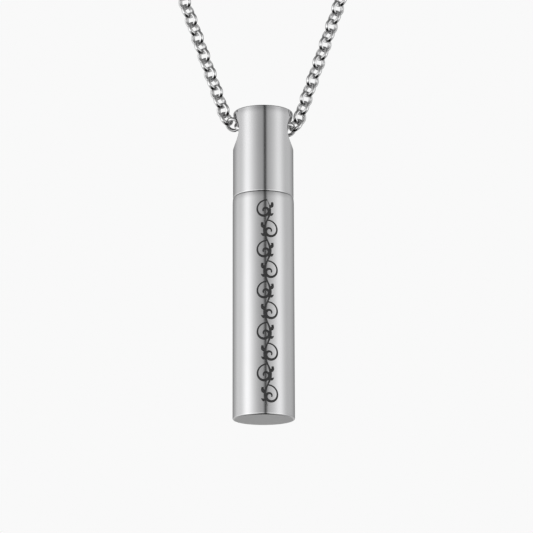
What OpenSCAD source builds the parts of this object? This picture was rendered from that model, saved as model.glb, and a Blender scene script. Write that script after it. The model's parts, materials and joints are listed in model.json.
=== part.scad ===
// A small cylindrical keepsake urn worn on a fine chain. The cap has a hole
// straight through it for the chain, and the urn tube screws on under it.
// +X is the wearer's left as seen from the front, +Y is towards the neck and
// +Z is up. The origin is the middle of the neck opening.

/* [Urn tube] */
// Outside diameter of the tube
tube_d = 7.5; // [6.6:0.1:12]
// Height of the whole pendant, from the flat bottom to the flat top
pendant_h = 38.4; // [32:0.1:60]
// Diameter of the drilled chamber
chamber_d = 4.5; // [2:0.1:4.6]
// Metal left under the chamber at the side of the drill's point
floor_t = 1.9; // [1.6:0.1:5]
// Chamfer round the edges of the bottom face
bottom_edge = 0.12; // [0.05:0.01:0.4]

/* [Cap] */
// Height of the cap down to the seam
cap_h = 10.9; // [8:0.1:16]
// How far the cap's side is set in from the tube's side
cap_step = 0.04; // [0:0.01:0.3]
// Chamfer round the top face
top_edge = 0.1; // [0.05:0.01:0.3]
// Chamfers on both sides of the seam
seam_edge = 0.12; // [0.05:0.01:0.3]
// Gap between the cap's shoulder and the tube's mouth
seam_gap = 0.1; // [0.05:0.01:0.3]

/* [Hole for the chain] */
// Diameter of the hole through the cap
hole_d = 4.4; // [3.8:0.1:4.8]
// Metal left over the hole, which hangs on the chain
bridge_t = 0.35; // [0.3:0.05:1]
// Clearance between the chain and the top of the hole
bail_clear = 0.55; // [0.45:0.05:0.8]

/* [Screw] */
// Diameter of the stud over its thread
stud_d = 5; // [4:0.1:5.4]
// Length of the stud under the cap
stud_h = 4.4; // [3:0.1:7]
// Height of one turn of the thread
thread_pitch = 0.5; // [0.4:0.05:1]
// Depth of the thread
thread_depth = 0.28; // [0.1:0.02:0.4]
// Clearance round the stud in the tube's mouth
screw_clear = 0.08; // [0.05:0.01:0.2]
// Depth of the tube's mouth below the end of the stud
mouth_spare = 0.8; // [0.3:0.1:2]

/* [Chain] */
// Outside diameter of a link
link_d = 2; // [1.9:0.02:2.1]
// Thickness of the wire of a link
link_wire = 0.3; // [0.26:0.01:0.34]
// Clearance between two links where they hook into each other
link_clear = 0.15; // [0.13:0.01:0.2]
// Links on each side of the middle one in the stretch made of links
links_each_side = 44; // [10:1:46]
// Lean of the front strands from the vertical, in degrees
strand_lean = 18.8; // [16:0.2:22]
// Clearance between a strand and the upper edge of the hole's mouth
strand_clear = 0.12; // [0.1:0.01:0.5]
// How far both strands sit towards -X at the cap
strand_shift = 0.05; // [0:0.01:0.1]
// Radius at which the chain turns up at the mouth of the hole
turn_r = 1.8; // [1.3:0.1:2.6]
// Lean of the chain in the hole, down towards +X, in degrees
hole_lean = 5.8; // [0:0.2:7]
// How much closer two links sit in the hole and at its mouths
hole_take = 0.11; // [0.07:0.01:0.12]
// How far the middle link sits off the middle of the hole
hole_shift = 0.32; // [0:0.02:0.4]

/* [Clasp] */
// Diameter of the barrel
clasp_d = 3.2; // [2.6:0.1:5]
// Chamfer round the ends of the barrel
clasp_edge = 0.6; // [0.2:0.1:1]
// Diameter of an eye, to the middle of its wire
eye_d = 1.8; // [1.6:0.1:2]
// Thickness of the wire of an eye
eye_wire = 0.5; // [0.4:0.05:0.6]

/* [Hidden] */
steel = "silver";
bright_steel = "gainsboro";
fine = 96;

// The middle of the chain in the hole, on which the pendant hangs and swings
hang_y = -44;
hang_z = -123;
chain_drop = link_d / 2 + bail_clear;

// Heights and radii of the pendant that follow from the sizes above
tube_r = tube_d / 2;
cap_r = tube_r - cap_step;
hole_z = hang_z + chain_drop - hole_d / 2;
top_z = hang_z + chain_drop + bridge_t;
shoulder_z = top_z - cap_h;
mouth_z = shoulder_z - seam_gap;
bottom_z = top_z - pendant_h;
stud_r = stud_d / 2;
stud_root_r = stud_r - thread_depth;
stud_neck_h = thread_pitch;
mouth_r = stud_r + screw_clear;
mouth_depth = stud_h + mouth_spare;
lead_in = 0.15;
drill_slope = tan(31);
// Shares of one turn of the thread: each flank's rise and the land on top
thread_flank = 0.35;
thread_land = 0.25;
// How far the stud's root runs up into the cap
stud_root_h = 1;

// Sides of a link and of its wire, and of the swept tube
link_sides = 12;
wire_sides = 5;
sweep_sides = 8;
link_r = (link_d - link_wire) / 2;
link_pitch = link_d - 2 * link_wire - link_clear;
link_tilt = 45;
hole_links = 5;

// The chain's line: straight through the hole, then an arc at each mouth,
// then the strand, which stands clear of the upper edge of the mouth. Where
// the strand's line crosses the level of the middle, it is corner_x out.
link_reach = link_r * sin(link_tilt) + link_wire / 2;
corner_x = cap_r + (link_reach + strand_clear
    - chain_drop * sin(strand_lean)) / cos(strand_lean);

// Points of the chain behind the front strands, on the wearer's left,
// chosen by hand. With them the whole necklace is about 508 long.
back_route = [
    [29.5, -44, -45], [36.8, -43.5, -22], [43.7, -41, -4], [49, -34, 7],
    [51.5, -21, 15], [51, -6, 20], [47, 9, 24], [39, 23, 27],
    [28, 34, 29], [17, 41, 30], [6, 44, 30]
];
steps_per_point = 3;
// Gap between the end of the chain and an eye of the clasp
clasp_gap = 0.3;
chain_end = back_route[len(back_route) - 1];
eye_tip_x = chain_end.x - clasp_gap;

// How far along the chain, from the middle of the hole, link i sits
function link_at(i) =
    sign(i) * (abs(i) * link_pitch - hole_take * min(abs(i), hole_links))
        - hole_shift;

// On one side of the middle, with side 1 or -1: the angle through which the
// chain turns up at the mouth, and how far along it the arc starts
function turn_angle(side) = 90 - strand_lean + side * hole_lean;
function turn_at(side) =
    (corner_x - side * strand_shift)
            / (cos(hole_lean) + side * sin(hole_lean) * tan(strand_lean))
        - turn_r * tan(turn_angle(side) / 2);

// The slope of the chain at distance u from the middle, and its place
function line_angle(u, side) =
    let (turned = (u - turn_at(side)) / turn_r * 180 / PI)
        min(max(turned, 0), turn_angle(side)) - side * hole_lean;
function line_point(u, side) =
    let (
        start = turn_at(side),
        a0 = -side * hole_lean,
        a = line_angle(u, side),
        level = min(u, start),
        rest = max(u - start - turn_r * turn_angle(side) * PI / 180, 0)
    )
    [level * cos(a0) + turn_r * (sin(a) - sin(a0)) + rest * sin(strand_lean), 0,
        level * sin(a0) + turn_r * (cos(a0) - cos(a)) + rest * cos(strand_lean)];

// The chain's place and direction at a distance from the middle, which is
// negative on the wearer's right
function side_of(t) = t < 0 ? -1 : 1;
function chain_point(t) =
    let (p = line_point(abs(t), side_of(t)))
        [side_of(t) * p.x, hang_y, hang_z + p.z];
function chain_dir(t) =
    let (a = line_angle(abs(t), side_of(t))) [cos(a), 0, side_of(t) * sin(a)];

// The corners of one link: a ring of wire in the plane of the chain's
// direction and a side direction that is tilted one way, then the other
function link_points(i) =
    let (
        t = link_at(i),
        middle = chain_point(t),
        along = chain_dir(t),
        across = cross(along, [0, 1, 0]),
        tilt = i % 2 == 0 ? link_tilt : -link_tilt,
        side = cos(tilt) * [0, 1, 0] + sin(tilt) * across,
        normal = cross(along, side)
    )
    [for (j = [0 : link_sides - 1], k = [0 : wire_sides - 1])
        let (
            a = 360 * j / link_sides,
            b = 360 * k / wire_sides,
            r = link_r + link_wire / 2 * cos(b)
        )
        middle + r * cos(a) * along + r * sin(a) * side
            + link_wire / 2 * sin(b) * normal];

function link_faces(first) =
    [for (j = [0 : link_sides - 1], k = [0 : wire_sides - 1])
        let (
            j2 = (j + 1) % link_sides,
            k2 = (k + 1) % wire_sides
        )
        [first + j * wire_sides + k, first + j2 * wire_sides + k,
            first + j2 * wire_sides + k2, first + j * wire_sides + k2]];

// A smooth curve through points, which passes from the second to the last
// but one
function blend(a, b, c, d, t) =
    0.5 * (2 * b + (c - a) * t + (2 * a - 5 * b + 4 * c - d) * t * t
        + (3 * b - a - 3 * c + d) * t * t * t);
function smooth(p, n) = concat(
    [for (i = [1 : len(p) - 3], k = [0 : n - 1])
        blend(p[i - 1], p[i], p[i + 1], p[i + 2], k / n)],
    [p[len(p) - 2]]);

// The line of the chain behind one front strand; side is 1 or -1
function mirrored(p, side) = [p.x * side, p.y, p.z];
function back_line(side) =
    let (
        route = [for (p = back_route) mirrored(p, side)],
        start = abs(link_at(side * links_each_side)) + link_d / 2 + link_clear,
        reach = norm(route[0] - chain_point(side * start)),
        from = [for (d = [-reach / 2, 0, reach / 2]) chain_point(side * (start + d))],
        beyond = mirrored(chain_end, -side)
    )
    smooth(concat(from, route, [beyond]), steps_per_point);

// The corners and faces of a round tube swept along a line of points
function unit(v) = v / norm(v);
function line_dir(p, i) =
    unit(p[min(i + 1, len(p) - 1)] - p[max(i - 1, 0)]);
function sweep_points(p, d) =
    [for (i = [0 : len(p) - 1])
        let (
            along = line_dir(p, i),
            out = unit(cross(along, [0, 0, 1] + 0.3 * [0, 1, 0])),
            over = cross(out, along)
        )
        for (k = [0 : sweep_sides - 1])
            let (a = 360 * k / sweep_sides)
                p[i] + d / 2 * (cos(a) * out + sin(a) * over)];
function sweep_faces(rings, first) = concat(
    [[for (k = [0 : sweep_sides - 1]) first + k]],
    [for (i = [0 : rings - 2], k = [0 : sweep_sides - 1])
        let (
            a = first + i * sweep_sides,
            k2 = (k + 1) % sweep_sides
        )
        [a + k, a + sweep_sides + k, a + sweep_sides + k2, a + k2]],
    [[for (k = [sweep_sides - 1 : -1 : 0])
        first + (rings - 1) * sweep_sides + k]]);

// The thread is drawn as a row of rings, each one turn high
module stud() {
    turns = floor((stud_h - stud_neck_h - lead_in) / thread_pitch);
    crests = [for (i = [0 : turns - 1])
        let (z = -stud_neck_h - i * thread_pitch)
            each [[stud_root_r, z],
                [stud_r, z - thread_pitch * thread_flank],
                [stud_r, z - thread_pitch * (thread_flank + thread_land)]]];
    end_z = -stud_neck_h - turns * thread_pitch;
    rotate_extrude($fn = fine)
        polygon(concat([[0, stud_root_h], [stud_root_r, stud_root_h]], crests,
            [[stud_root_r, end_z], [stud_root_r, -stud_h + lead_in],
                [stud_root_r - lead_in, -stud_h], [0, -stud_h]]));
}

module cap() {
    color(steel)
    translate([0, hang_y, 0])
    difference() {
        union() {
            rotate_extrude($fn = fine)
                polygon([
                    [0, shoulder_z], [cap_r - seam_edge, shoulder_z],
                    [cap_r, shoulder_z + seam_edge],
                    [cap_r, top_z - top_edge],
                    [cap_r - top_edge, top_z], [0, top_z]
                ]);
            translate([0, 0, shoulder_z]) stud();
        }
        translate([0, 0, hole_z])
            rotate([0, 90, 0])
                cylinder(h = 2 * tube_d, d = hole_d, center = true, $fn = fine);
    }
}

module tube() {
    chamber_r = chamber_d / 2;
    floor_z = bottom_z + floor_t;
    color(steel)
    translate([0, hang_y, 0])
    rotate_extrude($fn = fine)
        polygon([
            [0, bottom_z], [tube_r - bottom_edge, bottom_z],
            [tube_r, bottom_z + bottom_edge],
            [tube_r, mouth_z - seam_edge],
            [tube_r - seam_edge, mouth_z],
            [mouth_r + lead_in, mouth_z],
            [mouth_r, mouth_z - lead_in],
            [mouth_r, mouth_z - mouth_depth],
            [chamber_r, mouth_z - mouth_depth],
            [chamber_r, floor_z],
            [0, floor_z - chamber_r * drill_slope]
        ]);
}

module chain_front() {
    links = [for (i = [-links_each_side : links_each_side]) i];
    points = [for (i = links) each link_points(i)];
    faces = [for (n = [0 : len(links) - 1])
        each link_faces(n * link_sides * wire_sides)];
    color(bright_steel) polyhedron(points = points, faces = faces);
}

module chain_back() {
    left = back_line(1);
    right = back_line(-1);
    rings = len(left);
    points = concat(sweep_points(left, link_d), sweep_points(right, link_d));
    faces = concat(sweep_faces(rings, 0),
        sweep_faces(rings, rings * sweep_sides));
    color(bright_steel) polyhedron(points = points, faces = faces);
}

// A barrel whose ends reach the middle of the wire of its two eyes
module clasp() {
    eye_x = eye_tip_x - (eye_d + eye_wire) / 2;
    half = eye_x - eye_d / 2;
    color(steel)
    translate([0, chain_end.y, chain_end.z]) {
        rotate([0, 90, 0])
            rotate_extrude($fn = 48)
                polygon([
                    [0, -half], [clasp_d / 2 - clasp_edge, -half],
                    [clasp_d / 2, -half + clasp_edge],
                    [clasp_d / 2, half - clasp_edge],
                    [clasp_d / 2 - clasp_edge, half], [0, half]
                ]);
        for (side = [-1, 1])
            translate([side * eye_x, 0, 0])
                rotate([90, 0, 0])
                    rotate_extrude($fn = 48)
                        translate([eye_d / 2, 0])
                            circle(d = eye_wire, $fn = 24);
    }
}

cap();
tube();
chain_front();
chain_back();
clasp();
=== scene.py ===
# %% [markdown]
# A keepsake urn pendant: a slim steel cylinder that hangs on a fine rolo
# chain. The imported model gives every piece its size and place, so this lesson
# starts by loading it. Shapes are worked out in millimetres, as a jeweller
# would, and turned into metres when a mesh is made.

# %% Load the frame
import json

import bmesh
import bpy
import numpy as np
from mathutils import Matrix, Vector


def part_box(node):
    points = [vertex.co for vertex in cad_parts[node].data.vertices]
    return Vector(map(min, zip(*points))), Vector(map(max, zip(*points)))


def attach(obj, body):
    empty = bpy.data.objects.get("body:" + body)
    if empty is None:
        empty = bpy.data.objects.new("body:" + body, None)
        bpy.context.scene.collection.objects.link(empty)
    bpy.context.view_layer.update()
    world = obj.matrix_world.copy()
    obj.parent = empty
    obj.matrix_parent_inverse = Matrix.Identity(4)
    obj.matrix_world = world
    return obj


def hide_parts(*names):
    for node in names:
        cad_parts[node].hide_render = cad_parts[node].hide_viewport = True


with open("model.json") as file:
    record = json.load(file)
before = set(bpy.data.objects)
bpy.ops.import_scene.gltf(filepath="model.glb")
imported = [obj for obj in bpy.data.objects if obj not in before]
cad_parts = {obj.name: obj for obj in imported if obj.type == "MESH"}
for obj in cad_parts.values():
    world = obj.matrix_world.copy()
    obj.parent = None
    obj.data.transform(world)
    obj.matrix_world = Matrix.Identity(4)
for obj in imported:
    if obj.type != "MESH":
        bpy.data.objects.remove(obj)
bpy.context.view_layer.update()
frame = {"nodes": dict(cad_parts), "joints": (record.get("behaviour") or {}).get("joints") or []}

MM = 0.001


def box_mm(node):
    """Lowest and highest corner of a CAD node, in millimetres."""
    low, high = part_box(node)
    return np.array(low) / MM, np.array(high) / MM


# %% [markdown]
# Everything turned on the lathe shares one upright axis, and the chain hangs
# from one point, which is the hinge of the pendant's swing. Both come from
# the frame. The few sizes under them are those of the real cuts: the hole for
# the chain, the stud that screws into the tube, and the small round edges. The
# solid model leaves a wide gap between tube and cap, so the tube's lip stands
# higher in it here and the cap's shoulder lower, and the seam is a fine line.

# %% Sizes from the frame
tube_low, tube_high = box_mm("tube")
cap_low, cap_high = box_mm("cap")
joints = {joint["name"]: joint for joint in frame["joints"]}
hang = np.array(joints["pendant_swing"]["pos_m"]) / MM

tube_r = (tube_high[0] - tube_low[0]) / 2
cap_r = (cap_high[0] - cap_low[0]) / 2
axis_y = (tube_low[1] + tube_high[1]) / 2
bottom_z, mouth_z, top_z = tube_low[2], tube_high[2], cap_high[2]
lip_z = mouth_z + 0.05
seam_gap = 0.035
shoulder_z = lip_z + seam_gap

hole_r, bridge = 2.2, 0.35
hole_z = top_z - bridge - hole_r
stud_r, thread_depth, thread_pitch = 2.5, 0.28, 0.5
stud_end_z = cap_low[2]
mouth_r, mouth_depth = 2.58, 5.2
chamber_r, floor_t, drill_tip = 2.25, 1.9, 1.35
plain_lip = 0.4
edge_r, bottom_edge_r, top_edge_r, shoulder_edge_r = 0.12, 0.2, 0.115, 0.16
roll_h, tube_roll, cap_roll = 0.8, 0.055, 0.045
print("tube", round(tube_r, 3), "cap", round(cap_r, 3), "height",
      round(top_z - bottom_z, 2))

# %% [markdown]
# A surface is a grid of points: rows run one way over it, columns the other.
# Each patch of a piece is such a grid, worked out as a whole array. The
# patches of one piece meet at the same points, so welding what coincides
# makes one closed shell, also where a row shrinks to a pole.

# %% Patches into a mesh


def grid_faces(rows, columns, wrap, first):
    """Four corners per face: each point with its neighbours in the next column
    and the next row. With wrap, the last column meets the first."""
    r = np.arange(rows - 1)[:, None]
    c = np.arange(columns if wrap else columns - 1)[None]
    c_next = (c + 1) % columns
    corners = [r * columns + c, r * columns + c_next,
               (r + 1) * columns + c_next, (r + 1) * columns + c]
    return first + np.stack(corners, -1).reshape(-1, 4)


def make_object(name, points, faces):
    """A smooth mesh object from points in millimetres."""
    mesh = bpy.data.meshes.new(name)
    mesh.from_pydata((np.asarray(points) * MM).tolist(), [], faces)
    mesh.shade_smooth()
    piece = bpy.data.objects.new(name, mesh)
    bpy.context.scene.collection.objects.link(piece)
    return piece


def weld(piece, reach=1e-4):
    """Joins points that coincide and turns every face outwards. It works in
    millimetres about the piece's own axis, where numbers are exact enough."""
    mesh = piece.data
    middle = Matrix.Translation((0, axis_y * MM, hole_z * MM))
    mesh.transform(Matrix.Scale(1 / MM, 4) @ middle.inverted())
    work = bmesh.new()
    work.from_mesh(mesh)
    bmesh.ops.remove_doubles(work, verts=work.verts, dist=reach)
    bmesh.ops.dissolve_degenerate(work, edges=work.edges, dist=reach / 10)
    bmesh.ops.recalc_face_normals(work, faces=work.faces)
    open_edges = sum(1 for edge in work.edges if not edge.is_manifold)
    work.to_mesh(mesh)
    work.free()
    mesh.transform(middle @ Matrix.Scale(MM, 4))
    mesh.shade_smooth()
    print(piece.name, len(mesh.polygons), "faces, open edges", open_edges)
    return piece


def unit(v):
    """Vectors cut or stretched to length one."""
    return v / np.linalg.norm(v, axis=-1, keepdims=True)


def from_patches(name, patches):
    """One welded piece from patches, each a grid of points and whether its
    columns go all the way round."""
    points, faces, first = [], [], 0
    for grid, wrap in patches:
        rows, columns = grid.shape[:2]
        points.append(grid.reshape(-1, 3))
        faces.append(grid_faces(rows, columns, wrap, first))
        first += rows * columns
    return weld(make_object(name, np.concatenate(points), np.concatenate(faces).tolist()))


# %% [markdown]
# Lathe work is a profile carried round the axis. Real edges are never knife
# sharp, so each corner of a profile becomes a short curve, with one extra
# point just past each end. Those points keep the shading of the flat sides
# flat, because a smooth shader averages the normals of the faces that meet.
# The polishing wheel also rolls off the last bit of a side towards its edge.

# %% Profiles and turning
# Steps in a corner's curve, and how far past it the extra points lie, as a
# share of its rounding
CURVE_STEPS, SUPPORT = 4, 0.3


def rounded(corners):
    """A profile of radius and height from corners (radius, height, rounding).
    A corner's curve leaves one side and joins the next as a quadratic curve."""
    corners = np.array(corners, float)
    profile = [corners[:1, :2]]
    t = np.linspace(0, 1, CURVE_STEPS + 1)[:, None]
    for before, here, after in zip(corners[:-2], corners[1:-1], corners[2:]):
        if here[2] == 0:
            profile.append(here[None, :2])
            continue
        back, on = before[:2] - here[:2], after[:2] - here[:2]
        back, on = back / np.linalg.norm(back), on / np.linalg.norm(on)
        a, b = here[:2] + back * here[2], here[:2] + on * here[2]
        curve = (1 - t) ** 2 * a + 2 * t * (1 - t) * here[:2] + t ** 2 * b
        support = here[2] * SUPPORT
        profile += [[a + back * support], curve, [b + on * support]]
    return np.concatenate(profile + [corners[-1:, :2]])


def rolled_off(radius, edge):
    """Corners along the last stretch of a side up to the edge at this height:
    the radius falls with the square of the way to the edge."""
    way = np.array([0, 0.15, 0.3, 0.45, 0.6, 0.75, 0.87])
    return [(radius - tube_roll * w * w, edge - roll_h * (1 - w), 0) for w in way]


def turned(profile, columns, relief=None):
    """The profile's radius swept round the upright axis. relief adds to the
    radius at each height and angle, for a thread."""
    angle = np.linspace(0, 2 * np.pi, columns, endpoint=False)[None]
    radius, height = profile[:, :1] + 0 * angle, profile[:, 1:] + 0 * angle
    if relief is not None:
        radius = radius + relief(height, angle)
    return np.stack([radius * np.cos(angle), axis_y + radius * np.sin(angle), height], -1)


def thread_relief(top, end, depth):
    """A helix: the phase grows with height over the pitch and with the angle
    over a full turn, a clipped triangle wave of it gives flanks and lands, and
    both ends fade out over one pitch."""
    crest, slope = 1.6, 5.2

    def relief(height, angle):
        phase = (height / thread_pitch - angle / (2 * np.pi)) % 1
        wave = np.clip(crest - np.abs(phase - 0.5) * slope, 0, 1)
        inside = np.minimum(top - height, height - end) / thread_pitch
        return depth * wave * np.clip(inside, 0, 1)
    return relief


def straight(radius, top, end, step):
    """The profile of a plain cylinder from top to end, in even steps."""
    height = np.linspace(top, end, int(np.ceil((top - end) / step)) + 1)
    return np.stack([np.full_like(height, radius), height], -1)


# %% [markdown]
# The urn tube is one profile from the middle of its bottom face, up the
# outside, over the mouth, down the threaded bore and the chamber, to the tip
# of the drill. The thread inside is cut outwards from the plain bore, so the
# stud always runs clear of it.

# %% The urn tube
TUBE_COLUMNS = 192
thread_step = thread_pitch / 14
tube_outside = rounded([
    (0, bottom_z, 0), (tube_r, bottom_z, bottom_edge_r), *rolled_off(tube_r, lip_z),
    (tube_r - tube_roll, lip_z, 0.03), (mouth_r, lip_z, edge_r), (mouth_r, mouth_z - plain_lip, 0),
])
mouth_bore = straight(mouth_r, mouth_z - plain_lip, mouth_z - mouth_depth, thread_step)
tube_chamber = rounded([
    (mouth_r, mouth_z - mouth_depth, 0), (chamber_r, mouth_z - mouth_depth, 0.05),
    (chamber_r, bottom_z + floor_t, 0.2), (0, bottom_z + floor_t - drill_tip, 0),
])
bore_relief = thread_relief(mouth_z - plain_lip, mouth_z - mouth_depth + 0.3, 0.25)
urn_tube = from_patches("urn_tube", [
    (turned(tube_outside, TUBE_COLUMNS), True),
    (turned(mouth_bore, TUBE_COLUMNS, bore_relief), True),
    (turned(tube_chamber, TUBE_COLUMNS), True),
])

# %% [markdown]
# The cap is turned too, but a large hole runs straight through it from left
# to right, and its mouths are saddle curves on the round side. A boolean would
# leave long thin faces there, and they show as smudges on polished metal. So
# the side is laid out in patches instead: plain ones at front and back, and a
# collar of rings round each mouth. A ring's points lie on straight lines, seen
# from the side, from the hole's edge to the collar's rectangle.

# %% The cap: side and hole
CAP_COLUMNS = 240
COLLAR_ROWS = 26
collar_angle = np.radians(45)
collar_top = top_z - edge_r * 1.3
below_hole, hole_edge = 0.9, 0.05
collar_low = hole_z - hole_r - below_hole
collar_z = np.linspace(collar_low, collar_top, COLLAR_ROWS)
collar_a = np.linspace(-collar_angle, collar_angle, CAP_COLUMNS // 4 + 1)


def side_radius(height):
    """The radius of the cap's side, rolled off towards the top edge."""
    way = np.clip((height - collar_top) / roll_h + 1, 0, 1)
    return cap_r - cap_roll * way ** 2


def side_patch(middle_angle):
    """Plain round side over the collars' height, a quarter turn wide."""
    angle = (middle_angle + collar_a)[None]
    height = collar_z[:, None] + 0 * angle
    radius = side_radius(height)
    return np.stack([radius * np.cos(angle), axis_y + radius * np.sin(angle), height], -1)


def collar_border():
    """Points of the collar's rectangle in turn, as distance across and height:
    up one side, over the top, down the other side and back below."""
    side = side_radius(collar_z) * np.sin(collar_angle)
    sine = np.sin(collar_a)
    up = np.stack([side, collar_z], -1)
    over = np.stack([side_radius(collar_top) * sine[::-1], 0 * sine + collar_top], -1)
    down = np.stack([-side[::-1], collar_z[::-1]], -1)
    below = np.stack([cap_r * sine, 0 * sine + collar_low], -1)
    return np.concatenate([up[:-1], over[:-1], down[:-1], below[:-1]])


border = collar_border()
spoke = np.arctan2(border[:, 1] - hole_z, border[:, 0])
spoke_dir = np.stack([np.cos(spoke), np.sin(spoke)], -1)
hole_middle = np.array([0, hole_z])


def on_side(across_height):
    """Points on the cap's round side: x is the root of radius squared less
    the distance across squared."""
    across, height = across_height[..., 0], across_height[..., 1]
    return np.stack([np.sqrt(side_radius(height) ** 2 - across ** 2), across, height], -1)


start = hole_middle + (hole_r + hole_edge) * spoke_dir
edge_ring = on_side(hole_middle + hole_r * spoke_dir)
outer_ring = on_side(start)
inner_ring = edge_ring - np.array([hole_edge, 0, 0])
middle_ring = 0.25 * outer_ring + 0.5 * edge_ring + 0.25 * inner_ring
ring_share = np.array([0.1, 0.3, 0.55, 0.8, 1])[:, None, None]
collar_rings = on_side(start + ring_share * (border - start))
collar = np.concatenate([inner_ring[None], middle_ring[None], outer_ring[None], collar_rings])
through = np.linspace(-1, 1, 17)[:, None, None]
tunnel = inner_ring * np.array([0, 1, 1]) + through * inner_ring * np.array([1, 0, 0])
to_axis = np.array([0, axis_y, 0])
print("collar rings", len(collar), "points a ring", len(border))

# %% [markdown]
# Above the collars the profile rounds over into the flat top; below them it
# runs down to the shoulder and on into the screw stud, which shows when the
# tube comes off. The stud's thread is the same helix as the tube's, raised
# instead of cut.

# %% The cap: top, shoulder and stud
rim_r = side_radius(collar_top)
cap_above = rounded([(rim_r, collar_top, 0), (rim_r - 0.01, top_z, top_edge_r), (0, top_z, 0)])
stud_root = stud_r - thread_depth
thread_top, thread_end = shoulder_z - plain_lip, stud_end_z + 0.2
cap_below = rounded([
    (cap_r, collar_low, 0), (cap_r, shoulder_z, shoulder_edge_r),
    (stud_root, shoulder_z, 0.05), (stud_root, thread_top, 0),
])
stud_side = straight(stud_root, thread_top, thread_end, thread_step)
stud_end = rounded([
    (stud_root, thread_end, 0), (stud_root, stud_end_z, edge_r), (0, stud_end_z, 0),
])
stud_relief = thread_relief(thread_top, thread_end, thread_depth - 0.01)
mirror_x = np.array([-1, 1, 1])
urn_cap = from_patches("urn_cap", [
    (side_patch(np.pi / 2), False), (side_patch(-np.pi / 2), False),
    (collar + to_axis, True), (collar * mirror_x + to_axis, True),
    (tunnel + to_axis, True),
    (turned(cap_above, CAP_COLUMNS), True), (turned(cap_below, CAP_COLUMNS), True),
    (turned(stud_side, CAP_COLUMNS, stud_relief), True),
    (turned(stud_end, CAP_COLUMNS), True),
])

# %% [markdown]
# A smooth shader guesses each point's normal from the faces round it, and the
# collar's faces are large beside the fine ones that they meet. On a mirror
# that shows as a kink in every reflection. The side is a known surface, so its
# points get their true normals: straight out, and tilted up by the slope of
# the roll-off. A zero leaves a point's normal as it was.

# %% True normals on the cap's side
ON_SURFACE = 1e-4


def set_side_normals(piece):
    """True normals for the points that lie on the round side."""
    mesh = piece.data
    points = np.empty(len(mesh.vertices) * 3)
    mesh.vertices.foreach_get("co", points)
    x, y, z = (points.reshape(-1, 3) / MM).T
    y = y - axis_y
    radius = np.hypot(x, y)
    is_side = (np.abs(radius - side_radius(z)) < ON_SURFACE) \
        & (z > shoulder_z + 0.2) & (z < collar_top - ON_SURFACE)
    way = np.clip((z - collar_top) / roll_h + 1, 0, 1)
    true = unit(np.stack([x / radius, y / radius, 2 * cap_roll * way / roll_h], -1))
    mesh.normals_split_custom_set_from_vertices(true * is_side[:, None])
    print("points with their true normal:", int(is_side.sum()))


set_side_normals(urn_cap)

# %% [markdown]
# The chain follows one line: level through the hole, round a short arc at
# each mouth, up the front strands and round the neck. The strand's place
# follows from the clearance it keeps from the hole's upper edge. The points
# behind the strands are listed, the same as the solid model's.

# %% The chain's line
strand_lean, hole_lean = np.radians(18.8), np.radians(5.8)
# Gap to the hole's edge, half the width that the links need there, and how
# far both strands sit towards -X at the cap
strand_clear, strand_reach, strand_shift = 0.12, 0.751, 0.05
turn_r = 1.8
chain_drop = top_z - bridge - hang[2]
corner_x = cap_r + (strand_reach + strand_clear
                    - chain_drop * np.sin(strand_lean)) / np.cos(strand_lean)
back_route = np.array([
    [29.5, -44, -45], [36.8, -43.5, -22], [43.7, -41, -4], [49, -34, 7],
    [51.5, -21, 15], [51, -6, 20], [47, 9, 24], [39, 23, 27],
    [28, 34, 29], [17, 41, 30], [6, 44, 30],
])


def front_line(u, side):
    """Places and directions at distances u from the middle of the hole, on one
    side and drawn as if on the right: the slope grows evenly over the arc."""
    first = -side * hole_lean
    turn = np.pi / 2 - strand_lean - first
    corner = (corner_x - side * strand_shift) \
        / (np.cos(first) - np.sin(first) * np.tan(strand_lean))
    turn_from = corner - turn_r * np.tan(turn / 2)
    slope = first + np.clip((u - turn_from) / turn_r, 0, turn)
    level = np.minimum(u, turn_from)
    rest = np.maximum(u - turn_from - turn_r * turn, 0)
    x = level * np.cos(first) + turn_r * (np.sin(slope) - np.sin(first))
    z = level * np.sin(first) + turn_r * (np.cos(first) - np.cos(slope))
    place = np.stack([x + rest * np.sin(strand_lean), 0 * x, z + rest * np.cos(strand_lean)], -1)
    return place + hang, np.stack([np.cos(slope), 0 * slope, np.sin(slope)], -1)


def smooth_line(points, steps):
    """A curve through points from the second to the last but one, in which
    each point's direction is that from the one before to the one after."""
    a, b, c, d = (points[i:len(points) - 3 + i, None] for i in range(4))
    t = np.linspace(0, 1, steps, endpoint=False)[None, :, None]
    curve = 0.5 * (2 * b + (c - a) * t + (2 * a - 5 * b + 4 * c - d) * t ** 2
                   + (3 * b - a - 3 * c + d) * t ** 3)
    return np.concatenate([curve.reshape(-1, 3), points[-2:-1]])


print("strand meets the hole's level at x =", round(corner_x, 3))

# %% [markdown]
# The links sit a pitch apart along the line, and a little closer in the hole
# and at its mouths, where they hang slack. Behind the stretch that is made of
# links in the solid model, the rest is spread evenly up to the clasp's eye.
# Each side is worked out as if it were the right one and then mirrored.

# %% Where the links sit
# The pitch, what each of the first few pitches lacks of it, how many those
# are, and how far the middle link sits off the middle of the hole
link_pitch, hole_take, hole_links, hole_shift = 1.25, 0.11, 5, 0.32
links_each_side = 44
cad_link_d, cad_link_clear = 2, 0.15
eye_play = 0.2
link_lean = np.radians(45)
# Where the links begin to turn from straight back to the neck's middle, and
# over what height
turn_in_from, turn_in_over = -75, 50


def link_sides(place, along, numbers):
    """The side direction of each link: inwards to the neck, made square to
    the chain, then leaned one way or the other by the link's number."""
    turn_in = np.clip((place[:, 2] - turn_in_from) / turn_in_over, 0, 1)
    inwards = -unit(place * np.stack([turn_in, 1 + 0 * turn_in, 0 * turn_in], -1))
    inwards = unit(inwards - (inwards * along).sum(-1, keepdims=True) * along)
    across = np.cross(along, inwards)
    lean = np.where(numbers % 2 == 0, 1, -1)[:, None] * link_lean
    return np.cos(lean) * inwards + np.sin(lean) * across


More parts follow.
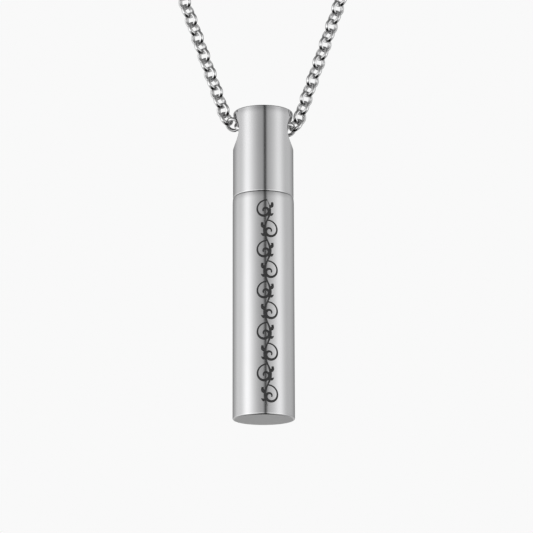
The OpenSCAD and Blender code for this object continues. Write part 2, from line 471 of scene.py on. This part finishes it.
def near_links(side):
    """Places, directions and side directions of the links in the front."""
    number = np.arange(0 if side < 0 else 1, links_each_side + 1)
    u = number * link_pitch - hole_take * np.minimum(number, hole_links) - side * hole_shift
    place, along = front_line(u, side)
    return u[-1], (place, along, link_sides(place, along, number))


def far_links(side, last_u):
    """The same for the links behind them, spread over the rest of the line."""
    start = last_u + cad_link_d / 2 + cad_link_clear
    reach = np.linalg.norm(back_route[0] - front_line(np.array([start]), side)[0][0])
    lead, _ = front_line(start + np.array([-0.5, 0, 0.5]) * reach, side)
    beyond = back_route[-1:] * mirror_x
    curve = smooth_line(np.concatenate([lead, back_route, beyond]), 60)
    curve = np.concatenate([curve, curve[-1:] - np.array([[eye_play, 0, 0]])])
    length = np.concatenate([[0], np.cumsum(np.linalg.norm(np.diff(curve, axis=0), axis=1))])
    lead_in = start - last_u
    count = int(round((length[-1] + lead_in) / link_pitch))
    s = np.arange(1, count + 1) * (length[-1] + lead_in) / count - lead_in
    place = np.stack([np.interp(s, length, curve[:, k]) for k in range(3)], -1)
    along = unit(np.gradient(place, axis=0))
    number = links_each_side + 1 + np.arange(count)
    print("side", side, ":", count, "far links, half length",
          round(start + length[-1] + back_route[-1, 0] - eye_play, 1), "mm")
    return place, along, link_sides(place, along, number)


near, far = [], []
for side in (-1, 1):
    last_u, links = near_links(side)
    near.append([v * (side, 1, 1) for v in links])
    far.append([v * (side, 1, 1) for v in far_links(side, last_u)])
near = [np.concatenate(v) for v in zip(*near)]
far = [np.concatenate(v) for v in zip(*far)]
print("links:", len(near[0]), "near,", len(far[0]), "far")

# %% [markdown]
# A rolo link is a plain ring of half-round wire, domed outside and flat
# inside, and each is turned a quarter from the last. Half way between lying
# flat and standing on edge is how such a chain hangs by itself, so links lean
# 45 degrees one way, then the other. All the rings are one array: link, angle
# round the ring, angle round the wire. Three numbers stay with each point: how
# far inside the ring it lies, how close to where the next link rubs, and
# whether it is in the nook just above the spot where it dips under that link.
# The last two say where shade is painted into the colour.

# %% Rings of wire
link_r, wire_t, wire_w = 0.98, 0.35, 0.54
dome_h = wire_w / 2
ring_r = link_r - dome_h
square_power, rub_shade_power = 0.6, 12
# The middle and half width of the nook's painted shade, as angles round the ring
nook_shade_at, nook_shade_width = np.radians(218), 0.28


def wire_rings(name, links, sides, wire_sides):
    """Rings of wire: a circle in the plane of along and side, and round it
    the wire's section. Outside it is half a circle; inside it is shallow, and
    powers of the sine and cosine below one push the curve out to a square."""
    middle, along, side = (v[:, None, None] for v in links)
    normal = np.cross(along, side)
    a = np.linspace(0, 2 * np.pi, sides, endpoint=False)[None, :, None, None]
    b = np.linspace(0, 2 * np.pi, wire_sides, endpoint=False)[None, None, :, None]
    inner = np.cos(b) < -1e-9
    flat = -(wire_t - dome_h) * np.abs(np.cos(b)) ** square_power
    radial = np.where(inner, flat, dome_h * np.cos(b))
    level = np.sign(np.sin(b)) * np.abs(np.sin(b)) ** np.where(inner, square_power, 1)
    out = np.cos(a) * along + np.sin(a) * side
    points = middle + out * (ring_r + radial) + normal * wire_w / 2 * level
    link = np.arange(points.shape[0])[:, None, None]
    i = np.arange(sides)[None, :, None]
    j = np.arange(wire_sides)[None, None]
    corners = [(link * sides + (i + di) % sides) * wire_sides + (j + dj) % wire_sides
               for di, dj in ((0, 0), (1, 0), (1, 1), (0, 1))]
    faces = np.stack(corners, -1).reshape(-1, 4)
    piece = make_object(name, points.reshape(-1, 3), faces.tolist())
    inside = np.clip(-np.cos(b) * 1.5, 0, 1) + 0 * a
    # Painted shade: how close a point is to where the next link crosses and rubs
    rub = np.abs(np.cos(a)) ** rub_shade_power + 0 * b
    # Painted shade: the nook just above where the ring dips under the next link, painted black
    nook = np.exp(-((a - nook_shade_at) / nook_shade_width) ** 4) * np.clip(np.cos(b) * 3 - 1, 0, 1)
    for key, value in (("inside", inside), ("rub", rub), ("nook", nook)):
        layer = piece.data.attributes.new(key, "FLOAT", "POINT")
        whole = np.broadcast_to(value[..., 0], points.shape[:3])
        layer.data.foreach_set("value", np.ascontiguousarray(whole, np.float32).ravel())
    print(name, points.shape[0], "links,", len(faces), "faces")
    return piece


chain_near = wire_rings("chain_near", near, sides=40, wire_sides=16)
chain_far = wire_rings("chain_far", far, sides=12, wire_sides=6)

# %% [markdown]
# The front of the tube carries a dark engraved ornament, made here as a plain
# scrolling vine: a waving stem, a curl in each hollow and small leaves. Every
# stroke is a thin strip that follows a path drawn flat, wrapped round the
# tube, and swells and thins as a graver's cut does.

# %% Strokes on the tube
stroke_out, stroke_in = 0.012, 0.03


def wrap_on_tube(across, height, lift):
    """Points on the tube's front: distance across becomes an angle."""
    radius = tube_r + lift
    angle = across / tube_r
    return np.stack([radius * np.sin(angle), axis_y - radius * np.cos(angle), height], -1)


def stroke(across, height, half_width):
    """A strip along a flat path: at each point two corners above the metal
    and two under it, to both sides of the path's direction."""
    along = unit(np.stack([np.gradient(across), np.gradient(height)], -1))
    off_a, off_h = -along[:, 1] * half_width, along[:, 0] * half_width
    corners = [(1, stroke_out), (-1, stroke_out), (-1, -stroke_in), (1, -stroke_in)]
    return np.stack([wrap_on_tube(across + s * off_a, height + s * off_h, lift)
                     for s, lift in corners], 1)


def strokes_object(name, strokes):
    """All strokes as closed strips in one mesh."""
    points, faces, first = [], [], 0
    for grid in strokes:
        rows = len(grid)
        points.append(grid.reshape(-1, 3))
        faces += grid_faces(rows, 4, True, first).tolist()
        last = first + (rows - 1) * 4
        faces += [[first + k for k in (3, 2, 1, 0)], [last + k for k in range(4)]]
        first += rows * 4
    return weld(make_object(name, np.concatenate(points), faces), reach=1e-5)


# %% [markdown]
# The vine's stem is a sine along the tube. A curl is a spiral whose radius
# shrinks by the same share at each step, and starts where the stem crosses
# its middle line. A leaf is a short bent stroke, widest a third of the way.

# %% The vine
vine_x = 0.48
vine_top, vine_low = mouth_z - 1.1, bottom_z + 1.0
waves = 5
wave_h = (vine_top - vine_low) / waves
stem_swing = 0.36
curl_out, curl_down, curl_turns, curl_shrink = 0.28, 0.05, 8.6, 1.9
berry_out, berry_r = 0.42, 0.13


def stem(share):
    """Place of the stem at a share of its length from the top."""
    return (vine_x + stem_swing * np.sin(2 * np.pi * waves * share),
            vine_top - share * (vine_top - vine_low))


def curl(crossing, side):
    """A shrinking spiral to one side, from where the stem crosses its line."""
    middle = np.array([vine_x - side * curl_out, crossing - wave_h / 4 - curl_down])
    start = np.array([vine_x, crossing]) - middle
    turn = np.linspace(0, 1, 90)
    angle = np.arctan2(start[1], start[0]) + side * curl_turns * turn
    radius = np.linalg.norm(start) * np.exp(-curl_shrink * turn)
    width = 0.085 + 0.075 * np.sin(np.pi * turn) ** 2
    return stroke(middle[0] + radius * np.cos(angle), middle[1] + radius * np.sin(angle), width)


def leaf(share, side, length=0.85, width=0.19, lean=50):
    """A pointed leaf that leaves the stem to one side and bends upwards."""
    x, z = stem(share)
    t = np.linspace(0, 1, 24)
    angle = np.radians(lean - 45 * t)
    step = length / len(t)
    across = x + side * np.cumsum(np.sin(angle)) * step
    height = z + np.cumsum(np.cos(angle)) * step
    return stroke(across, height, 0.015 + width * np.sin(np.pi * t ** 0.7) ** 1.2)


def berry(share, side):
    """A round dot beside the stem."""
    x, z = stem(share)
    t = np.linspace(-1, 1, 17)
    width = berry_r * np.sqrt(1.0001 - t ** 2)
    return stroke(x + side * berry_out + 0 * t, z + berry_r * t, width)


share = np.linspace(0, 1, 400)
swell = 0.09 + 0.07 * np.abs(np.sin(2 * np.pi * waves * share)) ** 1.5
vine = [stroke(*stem(share), swell * np.minimum(1, 12 * share * (1 - share) + 0.15))]
for half in range(2 * waves):
    side = 1 if half % 2 == 0 else -1
    crossing = vine_top - half * wave_h / 2
    vine.append(curl(crossing, side))
    at = (half + 0.5) / (2 * waves)
    vine.append(leaf(at - 0.012, side))
    vine.append(leaf(at + 0.024, side, 0.6, 0.15, 85))
    vine.append(berry(at - 0.035, side))
vine_ornament = strokes_object("vine_ornament", vine)

# %% [markdown]
# Shader maths is easier to read as Python. This small class wraps a socket of
# a node tree: adding or multiplying two of them makes the Math node, and its
# one method makes any other node from its type, its settings and its inputs.

# %% Shader expressions


def arithmetic(operation, swapped=False):
    """A method that joins a value and another by a Math node. Swapped is the
    reflected form, where the other stands first."""
    def joined(self, other):
        first, second = (other, self) if swapped else (self, other)
        return self.node("ShaderNodeMath", {"operation": operation}, {0: first, 1: second})
    return joined


class Shade:
    """One output socket, or the tree alone, with arithmetic on values."""

    def __init__(self, tree, socket=None):
        self.tree, self.socket = tree, socket

    def node(self, kind, settings=None, inputs=None, out=0):
        """Any node: its settings by name, its inputs by name or number."""
        made = self.tree.nodes.new(kind)
        for key, value in (settings or {}).items():
            if key == "stops":
                ramp_stops(made.color_ramp, value)
            else:
                setattr(made, key, value)
        for key, value in (inputs or {}).items():
            if isinstance(value, Shade):
                self.tree.links.new(value.socket, made.inputs[key])
            else:
                made.inputs[key].default_value = value
        return Shade(self.tree, made.outputs[out] if made.outputs else None)

    __add__ = __radd__ = arithmetic("ADD")
    __mul__ = __rmul__ = arithmetic("MULTIPLY")
    __sub__, __rsub__ = arithmetic("SUBTRACT"), arithmetic("SUBTRACT", swapped=True)
    __truediv__, __rtruediv__ = arithmetic("DIVIDE"), arithmetic("DIVIDE", swapped=True)
    __pow__, __rpow__ = arithmetic("POWER"), arithmetic("POWER", swapped=True)


def ramp_stops(ramp, stops):
    """Sets a ramp to grey stops of (place, value)."""
    while len(ramp.elements) < len(stops):
        ramp.elements.new(0.5)
    for element, (place, value) in zip(ramp.elements, stops):
        element.position = place
        element.color = (value, value, value, 1)


def new_material(name):
    """An empty material and its node tree."""
    material = bpy.data.materials.new(name)
    material.use_nodes = True
    material.node_tree.nodes.clear()
    return material, Shade(material.node_tree)


def surface(tree, inputs):
    """A Principled shader with these inputs, joined to the output."""
    principled = tree.node("ShaderNodeBsdfPrincipled", {}, inputs)
    tree.node("ShaderNodeOutputMaterial", {}, {"Surface": principled})


def on_axis(tree, stretch):
    """Object coordinates in millimetres about the pendant's axis, each
    stretched by its own factor."""
    coordinates = tree.node("ShaderNodeTexCoord", out="Object")
    centred = tree.node("ShaderNodeVectorMath", {"operation": "SUBTRACT"},
                        {0: coordinates, 1: (0, axis_y * MM, hole_z * MM)})
    scale = tuple(s / MM for s in stretch)
    return tree.node("ShaderNodeVectorMath", {"operation": "MULTIPLY"}, {0: centred, 1: scale})


def noise(tree, place, scale, detail):
    """Soft noise between 0 and 1."""
    return tree.node("ShaderNodeTexNoise", {}, {"Vector": place, "Scale": scale,
                                                "Detail": detail}, out="Fac")


def bump(tree, height, strength, distance):
    """A normal from a height between 0 and 1, worth this distance in mm."""
    return tree.node("ShaderNodeBump", {}, {"Height": height, "Strength": strength,
                                            "Distance": distance * MM})


def colour_mix(tree, share, first, second):
    """A colour between two, by a value. Each is three numbers or a socket."""
    first, second = (c if isinstance(c, Shade) else (*c, 1) for c in (first, second))
    return tree.node("ShaderNodeMix", {"data_type": "RGBA"}, {0: share, 6: first, 7: second}, out=2)


# %% [markdown]
# Stainless steel that was polished after turning keeps a soft satin: it
# mirrors the room, but blurred. Fine streaks run along the piece, from the
# last polishing strokes, and vary the roughness a little. The colour hardly
# changes, since metal takes its look from what it reflects.

# %% Satin steel


def satin_steel(name, rough):
    """Steel with streaks along the axis and slow clouds of roughness."""
    material, tree = new_material(name)
    streak = noise(tree, on_axis(tree, (9, 9, 0.35)), 1, 4)
    cloud = noise(tree, on_axis(tree, (0.5, 0.5, 0.25)), 1, 2)
    surface(tree, {
        "Base Color": colour_mix(tree, cloud, (0.60, 0.60, 0.605), (0.64, 0.64, 0.648)),
        "Metallic": 1.0,
        "Roughness": rough + 0.04 * (streak - 0.5) + 0.03 * (cloud - 0.5),
        "Normal": bump(tree, streak, 0.05, 0.003),
    })
    return material


satin = satin_steel("satin_steel", 0.13)
brushed = satin_steel("brushed_steel", 0.5)

# %% [markdown]
# The flat ends were faced on the lathe and only lightly polished. The tool
# leaves rings round the middle, so their bump is a wave of the distance from
# the axis, broken up by a little noise. The bore and the chamber are as the
# drill left them, duller still. The chain's hole was reamed clean, and its
# steel colour is made much lighter: painted light, for the light that goes to
# and fro in it.

# %% Faced and bored steel


def faced_steel(name, rough, ring, depth, grey=0.52):
    """Steel with tool rings: their spacing and depth are in millimetres."""
    material, tree = new_material(name)
    place = on_axis(tree, (1, 1, 0))
    distance = tree.node("ShaderNodeVectorMath", {"operation": "LENGTH"}, {0: place}, out="Value")
    wander = noise(tree, on_axis(tree, (2, 2, 2)), 1, 3)
    rings = tree.node("ShaderNodeMath", {"operation": "SINE"},
                      {0: (distance + 0.06 * wander) * (2 * np.pi / ring)})
    surface(tree, {
        "Base Color": colour_mix(tree, wander, (grey - 0.03,) * 3, (grey + 0.03,) * 3),
        "Metallic": 1.0,
        "Roughness": rough + 0.08 * (wander - 0.5),
        "Normal": bump(tree, 0.5 + 0.35 * rings + 0.3 * wander, 0.3, depth),
    })
    return material


faced = faced_steel("faced_steel", 0.3, 0.16, 0.003)
bored = faced_steel("bored_steel", 0.38, 0.3, 0.01)
# Painted light: a much lighter grey on the hole's wall, for light that goes to and fro in the hole
reamed_painted_light = faced_steel("reamed_steel_painted_light", 0.45, 0.5, 0.002, grey=0.92)

# %% [markdown]
# The chain is drawn wire, tumbled bright. The domed outside of each ring
# mirrors almost sharply, with shallow dents from the tumbling. The flat
# inside, where the tumbling doesn't reach, stays dull grey, and painted shade
# darkens it where the next link rubs. The nook above the next link is painted
# black as shade, and those small black strokes are what sets the rings apart
# from a distance. All of it comes from the numbers that were stored with the
# rings' points.

# %% Bright steel and dark engraving


def bright_steel(name):
    """Bright wire, dull inside, with painted shade where links rub and painted black shade in the
    nook.
    """
    material, tree = new_material(name)
    coordinates = tree.node("ShaderNodeTexCoord", out="Object")
    dents = noise(tree, coordinates, 1.3 / MM, 2)
    fine = noise(tree, coordinates, 7 / MM, 3)
    inside, rub, nook = (tree.node("ShaderNodeAttribute", {"attribute_name": key}, out="Fac")
                         for key in ("inside", "rub", "nook"))
    polished = colour_mix(tree, dents, (0.63, 0.63, 0.632), (0.75, 0.75, 0.753))
    # Painted shade: the dull inside darkens towards grey 0.25 where the next link rubs
    dull_and_shaded = colour_mix(tree, rub * (0.7 + 0.6 * fine), (0.72, 0.72, 0.722), (0.25, 0.25, 0.25))
    steel = colour_mix(tree, inside, polished, dull_and_shaded)
    surface(tree, {
        # Painted shade: black in the nook above the next link
        "Base Color": colour_mix(tree, nook, steel, (0.01, 0.01, 0.01)),
        "Metallic": 1.0,
        "Roughness": 0.06 + 0.10 * fine * dents + 0.25 * inside,
        "Normal": bump(tree, dents + 0.15 * fine, 0.2, 0.02),
    })
    return material


def dark_engraving(name):
    """Nearly black and matt, with a fine grain."""
    material, tree = new_material(name)
    grain = noise(tree, on_axis(tree, (1, 1, 1)), 16, 3)
    surface(tree, {
        "Base Color": colour_mix(tree, grain, (0.012, 0.012, 0.012), (0.04, 0.04, 0.042)),
        "Metallic": 0.0,
        "Roughness": 0.42 + 0.25 * grain,
        "Normal": bump(tree, grain, 0.3, 0.004),
    })
    return material


bright = bright_steel("bright_steel")
engraved = dark_engraving("dark_engraving")

# %% [markdown]
# A piece can carry several finishes. Its faces are sorted by where they lie
# and which way they look: what faces straight up or down is faced steel, what
# lies inside the tube is bored, the wall of the chain's hole is reamed and
# painted lighter as painted light, and the rest is satin.

# %% Finishes on the pieces
CLOSE_MM, FLAT = 0.01, 0.99


def face_places(mesh):
    """Middles and normals of all faces, as arrays in millimetres."""
    count = len(mesh.polygons)
    middle, normal = np.empty(count * 3), np.empty(count * 3)
    mesh.polygons.foreach_get("center", middle)
    mesh.polygons.foreach_get("normal", normal)
    return middle.reshape(-1, 3) / MM, normal.reshape(-1, 3)


def set_finishes(piece, finishes, index):
    """Gives the piece its materials and each face its number among them."""
    piece.data.materials.clear()
    for finish in finishes:
        piece.data.materials.append(finish)
    piece.data.polygons.foreach_set("material_index", index.astype(np.int32))
    piece.data.update()


middle, normal = face_places(urn_tube.data)
off_axis = np.hypot(middle[:, 0], middle[:, 1] - axis_y)
is_end = (np.abs(normal[:, 2]) > FLAT) & (middle[:, 2] < bottom_z + CLOSE_MM)
is_bore = (off_axis < mouth_r + 0.3) & (middle[:, 2] > bottom_z + CLOSE_MM)
index = np.where(is_end, 1, np.where(is_bore, 2, 0))
set_finishes(urn_tube, [satin, faced, bored], index)

middle, normal = face_places(urn_cap.data)
is_end = (normal[:, 2] > FLAT) & (middle[:, 2] > top_z - CLOSE_MM)
is_stud = middle[:, 2] < shoulder_z + CLOSE_MM
is_hole = (np.hypot(middle[:, 1] - axis_y, middle[:, 2] - hole_z) < hole_r + CLOSE_MM) \
    & (np.abs(normal[:, 0]) < 0.1)
index = np.where(is_end, 1, np.where(is_stud, 2, np.where(is_hole, 3, 0)))
set_finishes(urn_cap, [satin, faced, bored, reamed_painted_light], index)

for piece, finish in ((chain_near, bright), (chain_far, bright), (vine_ornament, engraved),
                      (frame["nodes"]["clasp"], brushed)):
    piece.data.materials.clear()
    piece.data.materials.append(finish)
print("finishes:", [m.name for m in bpy.data.materials])

# %% [markdown]
# Each piece moves with the body that carries it, and stands for the CAD node
# that it replaces. The clasp's own solid is right as it is, so it only gets a
# brushed finish.

# %% Bodies and nodes
for piece, body, nodes, slot in (
    (urn_tube, "tube", ["tube"], "steel"),
    (vine_ornament, "tube", [], "steel"),
    (urn_cap, "cap", ["cap"], "steel"),
    (chain_near, "necklace", ["chain_front"], "chain_steel"),
    (chain_far, "necklace", ["chain_back"], "chain_steel"),
):
    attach(piece, body)
    if nodes:
        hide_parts(*nodes)

# %% [markdown]
# Polished metal shows the studio more than itself. The plan is that of a
# product table: a large soft box on each side, weaker fill behind them, one
# panel that stands higher at the back right, and a narrow dark gap where the
# camera stands. Each panel is a smooth hump on the circle of bearings: e to
# the power of the cosine of the angle to its middle, less one, over the
# square of its width.

# %% Studio panels
BACKDROP = 0.947
BASE_LIGHT = 0.52
# Bearing in degrees, 0 towards the camera and positive to its right, half
# width in degrees, and brightness
panels = [(-63, 14, 0.69), (-88, 34, 0.42), (-113, 10, 0.12), (61, 16, 0.72),
          (-38, 14, 0.24), (31, 13, 0.16)]
raised_panel = (112, 24, 0.31)
camera_gap, back_gap = (7, 4.2, 0.9), (180, 24, 0.65)

world = bpy.data.worlds.new("studio")
bpy.context.scene.world = world
world.use_nodes = True
world.node_tree.nodes.clear()
sky = Shade(world.node_tree)
towards = sky.node("ShaderNodeTexCoord", out="Generated")
to_x, to_y, to_z = (sky.node("ShaderNodeSeparateXYZ", {}, {0: towards}, out=axis)
                    for axis in "XYZ")
level = (to_x * to_x + to_y * to_y + 1e-6) ** 0.5


def hump(bearing, width):
    """1 towards a bearing, falling smoothly to both sides of it."""
    angle = np.radians(bearing)
    cosine = (to_x * float(np.sin(angle)) - to_y * float(np.cos(angle))) / level
    return float(np.e) ** ((cosine - 1) * float(1 / np.radians(width) ** 2))


boxes = sum(hump(bearing, width) * power for bearing, width, power in panels)
raised = hump(*raised_panel[:2]) * raised_panel[2]
gap = 1 - hump(*camera_gap[:2]) * camera_gap[2]
print(len(panels) + 1, "panels")

# %% [markdown]
# Up and down, the panels are brightest at table height and fade overhead. The
# table's front edge throws some light up, and the floor is pale but for a dark
# slit that runs under the pendant towards the camera: the rounded edges show
# it as a thin dark line in the middle. What the camera sees directly is the
# plain backdrop, and matt surfaces get an even soft light, so that only the
# metal sees the panels.

# %% Studio light
TABLE_LIGHT, FLOOR_LIGHT = 0.62, 0.52
height = to_z * 0.5 + 0.5


def ramp(value, *stops):
    """Grey between stops of (value, grey)."""
    return sky.node("ShaderNodeValToRGB", {"stops": stops}, {"Fac": value})


# Stops over height, where 0 is straight down and 0.5 the horizon
box_height = ramp(height, (0, 0), (0.21, 0.01), (0.32, 0.9), (0.40, 1), (0.60, 1),
                  (0.68, 0.8), (0.76, 0.45), (0.88, 0.4), (1, 0.4))
base_height = ramp(height, (0, 0), (0.21, 0.01), (0.32, 0.9), (0.40, 1), (0.60, 0.95),
                   (0.68, 0.8), (0.76, 0.5), (0.88, 0.2), (1, 0.2))
raised_height = ramp(height, (0, 0), (0.5, 0), (0.65, 1), (0.72, 0.6), (0.8, 0.3), (1, 0.3))
table_height = ramp(height, (0, 0), (0.26, 0), (0.36, 1), (0.42, 1), (0.52, 0), (1, 0))
table = hump(0, 60) * table_height * TABLE_LIGHT
above = ramp(height, (0, 0), (0.42, 0), (0.54, 1), (1, 1))
gap = gap * (1 - hump(*back_gap[:2]) * back_gap[2] * above)
floor_height = ramp(height, (0, 1), (0.23, 1), (0.34, 0), (1, 0))
slit = ramp(to_x * to_x, (0, 0), (0.05, 0), (0.12, 1), (1, 1))
below = slit * floor_height * FLOOR_LIGHT
lit = boxes * box_height + raised * raised_height + BASE_LIGHT * base_height + table
mirrored = gap * lit + below
path = sky.node("ShaderNodeLightPath", out="Is Camera Ray")
matt = sky.node("ShaderNodeLightPath", out="Is Diffuse Ray")
light = path * BACKDROP + (1 - path) * (matt + (1 - matt) * mirrored)
background = sky.node("ShaderNodeBackground", {}, {"Color": light, "Strength": 1.0})
sky.node("ShaderNodeOutputWorld", {}, {"Surface": background})
print("brightest mirrored light", BASE_LIGHT + max(power for _, _, power in panels))

# %% [markdown]
# The floor is a plain pale sheet far under the pendant. The camera looks up
# from below the pendant, so it sees only the backdrop; other views show the
# floor.

# %% Floor
floor_z, floor_half = -270, 2500
floor_points = [(sx * floor_half, sy * floor_half, floor_z)
                for sx, sy in ((-1, -1), (1, -1), (1, 1), (-1, 1))]
floor = make_object("floor", floor_points, [[0, 1, 2, 3]])
floor.visible_glossy = False
material, tree = new_material("pale_floor")
paper = noise(tree, tree.node("ShaderNodeTexCoord", out="Object"), 40, 3)
surface(tree, {"Base Color": colour_mix(tree, paper, (0.86, 0.86, 0.86), (0.89, 0.89, 0.89)),
               "Roughness": 0.9})
floor.data.materials.append(material)

# %% [markdown]
# The photograph was taken with a long lens from below the pendant: the rims
# are ellipses that open upwards, and the tube widens a little towards the
# bottom, which is nearer. A fit of those ellipses gives the distance, the
# height and the lens.

# %% Camera
IMAGE_PX, SENSOR_MM = 533, 36
focal_px = 2424.6
camera_back, camera_below, camera_pitch = 286.6, 70.85, 13.833
camera_right, camera_roll = 0.374, 0.149
pendant_middle_z = (top_z + bottom_z) / 2

lens_data = bpy.data.cameras.new("camera")
lens_data.sensor_width = SENSOR_MM
lens_data.lens = SENSOR_MM * focal_px / IMAGE_PX
lens_data.clip_start, lens_data.clip_end = 0.005, 20
camera = bpy.data.objects.new("camera", lens_data)
camera.location = np.array([camera_right, axis_y - camera_back,
                            pendant_middle_z - camera_below]) * MM
pitch, roll = np.radians(camera_pitch), np.radians(camera_roll)
camera.rotation_euler = (np.pi / 2 + pitch, roll * np.cos(pitch), roll * np.sin(pitch))
bpy.context.scene.collection.objects.link(camera)
bpy.context.scene.camera = camera
bpy.context.scene.view_settings.view_transform = "Standard"
print("lens", round(lens_data.lens, 1), "mm")
